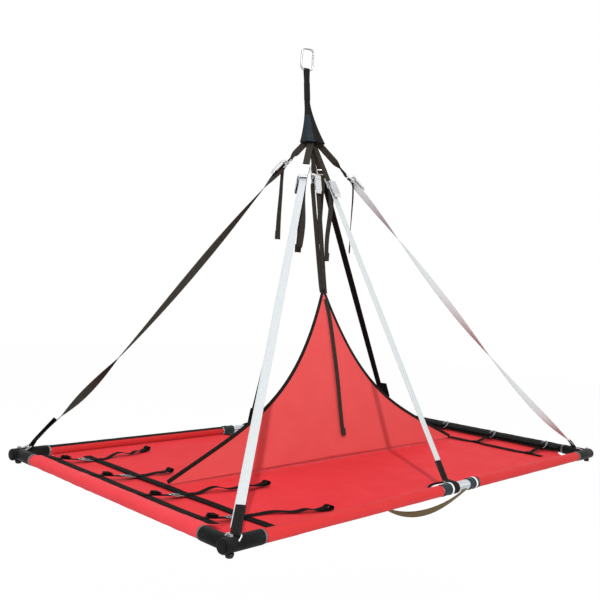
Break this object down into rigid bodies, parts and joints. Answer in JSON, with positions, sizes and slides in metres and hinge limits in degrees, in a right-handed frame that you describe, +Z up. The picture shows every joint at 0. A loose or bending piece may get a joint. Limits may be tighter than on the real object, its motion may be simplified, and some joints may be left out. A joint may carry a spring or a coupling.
{
  "type": "portaledge",
  "caption": "Hanging climbing platform: a jointed tube frame with a laced red fabric bed and peaked divider, carried by adjustable webbing legs from one carabiner.",
  "frame": {"origin": "inside of the carabiner's top bar, where the anchor bears", "axes": "+X along the bed, to the right as seen from its open front; +Y towards the wall; +Z up"},
  "size_m": [2.1642, 1.1956, 1.8733],
  "materials": {
    "bare_aluminium": "satin",
    "pressed_aluminium": "satin",
    "carabiner_alloy": "polished",
    "bright_steel": "polished",
    "black_moulding": "matte",
    "slate_collar": "matte",
    "white_ring": "satin",
    "black_rubber": "matte",
    "black_webbing": "woven",
    "light_webbing": "woven",
    "navy_webbing": "woven",
    "olive_webbing": "woven",
    "red_bed_cloth": "coated ripstop",
    "red_divider_cloth": "coated ripstop"
  },
  "bodies": {
    "carabiner": {"carabiner_body": "carabiner_alloy"},
    "gate": {"carabiner_gate": "bright_steel"},
    "ledge": {"master_loop": "black_webbing", "yoke": "navy_webbing", "upper_straps": "black_webbing", "leg_front_left": "light_webbing", "leg_front_mid": "light_webbing", "leg_front_right": "light_webbing", "leg_rear_left": "black_webbing", "leg_rear_mid": "black_webbing", "leg_rear_right": "black_webbing", "leg_tails": "black_webbing", "buckle_frames": "bare_aluminium", "buckle_pins": "bright_steel", "divider_strap": "black_webbing", "divider_panel": "red_divider_cloth", "divider_binding": "black_webbing", "divider_tail": "black_webbing", "tube_front_left": "bare_aluminium", "tube_front_right": "bare_aluminium", "tube_rear_left": "bare_aluminium", "tube_rear_right": "bare_aluminium", "tube_end_left": "bare_aluminium", "tube_end_right": "bare_aluminium", "ferrules": "bare_aluminium", "mid_collars": "slate_collar", "mid_rings": "white_ring", "elbow_front_left": "black_moulding", "elbow_front_right": "black_moulding", "elbow_rear_left": "black_moulding", "elbow_rear_right": "black_moulding", "elbow_caps": "black_moulding", "elbow_bolts": "bright_steel", "elbow_feet": "black_rubber", "leg_bails": "bright_steel", "bed_panel": "red_bed_cloth", "bed_hems": "red_bed_cloth", "sleeves_front": "red_bed_cloth", "sleeves_rear": "red_bed_cloth", "flap_left": "red_bed_cloth", "flap_right": "black_webbing", "outer_strips": "black_webbing", "inner_strips": "black_webbing", "tension_straps_left": "black_webbing", "tension_straps_right": "black_webbing", "tension_rings": "bright_steel", "notch_bindings": "black_webbing", "belly_strap": "olive_webbing"},
    "cam_front_left": {"lever_front_left": "pressed_aluminium"},
    "cam_front_mid": {"lever_front_mid": "pressed_aluminium"},
    "cam_front_right": {"lever_front_right": "pressed_aluminium"},
    "cam_rear_left": {"lever_rear_left": "pressed_aluminium"},
    "cam_rear_mid": {"lever_rear_mid": "pressed_aluminium"},
    "cam_rear_right": {"lever_rear_right": "pressed_aluminium"},
    "cam_divider": {"lever_divider": "pressed_aluminium"}
  },
  "joints": [
    {"name": "ledge_swing", "type": "hinge", "parent": "carabiner", "child": "ledge", "pos_m": [0, 0, -0.0845], "axis": [0.9397, -0.342, 0], "range_deg": [-25, 0]},
    {"name": "gate_hinge", "type": "hinge", "parent": "carabiner", "child": "gate", "pos_m": [0.0249, -0.00906, -0.0645], "axis": [-0.342, -0.9397, 0], "range_deg": [0, 28], "stiffness_Nm_per_rad": 0.25, "springref_deg": -20.05},
    {"name": "cam_front_left", "type": "hinge", "parent": "ledge", "child": "cam_front_left", "pos_m": [-0.14486, -0.17091, -0.53376], "axis": [-0.6178, 0.7864, 0], "range_deg": [0, 50], "stiffness_Nm_per_rad": 0.6, "springref_deg": -34.38},
    {"name": "cam_front_mid", "type": "hinge", "parent": "ledge", "child": "cam_front_mid", "pos_m": [-0.00539, -0.19175, -0.57813], "axis": [-0.9992, 0.04, 0], "range_deg": [0, 50], "stiffness_Nm_per_rad": 0.6, "springref_deg": -34.38},
    {"name": "cam_front_right", "type": "hinge", "parent": "ledge", "child": "cam_front_right", "pos_m": [0.14486, -0.17091, -0.53376], "axis": [-0.6178, -0.7864, 0], "range_deg": [0, 50], "stiffness_Nm_per_rad": 0.6, "springref_deg": -34.38},
    {"name": "cam_rear_left", "type": "hinge", "parent": "ledge", "child": "cam_rear_left", "pos_m": [-0.11808, -0.02054, -0.4997], "axis": [0.2958, 0.9553, 0], "range_deg": [0, 50], "stiffness_Nm_per_rad": 0.6, "springref_deg": -34.38},
    {"name": "cam_rear_mid", "type": "hinge", "parent": "ledge", "child": "cam_rear_mid", "pos_m": [0.00493, -0.00854, -0.54451], "axis": [0.9949, -0.101, 0], "range_deg": [0, 50], "stiffness_Nm_per_rad": 0.6, "springref_deg": -34.38},
    {"name": "cam_rear_right", "type": "hinge", "parent": "ledge", "child": "cam_rear_right", "pos_m": [0.11808, -0.02054, -0.4997], "axis": [0.2958, -0.9553, 0], "range_deg": [0, 50], "stiffness_Nm_per_rad": 0.6, "springref_deg": -34.38},
    {"name": "cam_divider", "type": "hinge", "parent": "ledge", "child": "cam_divider", "pos_m": [0, -0.09904, -0.54638], "axis": [-1, 0, 0], "range_deg": [0, 50], "stiffness_Nm_per_rad": 0.6, "springref_deg": -34.38}
  ]
}
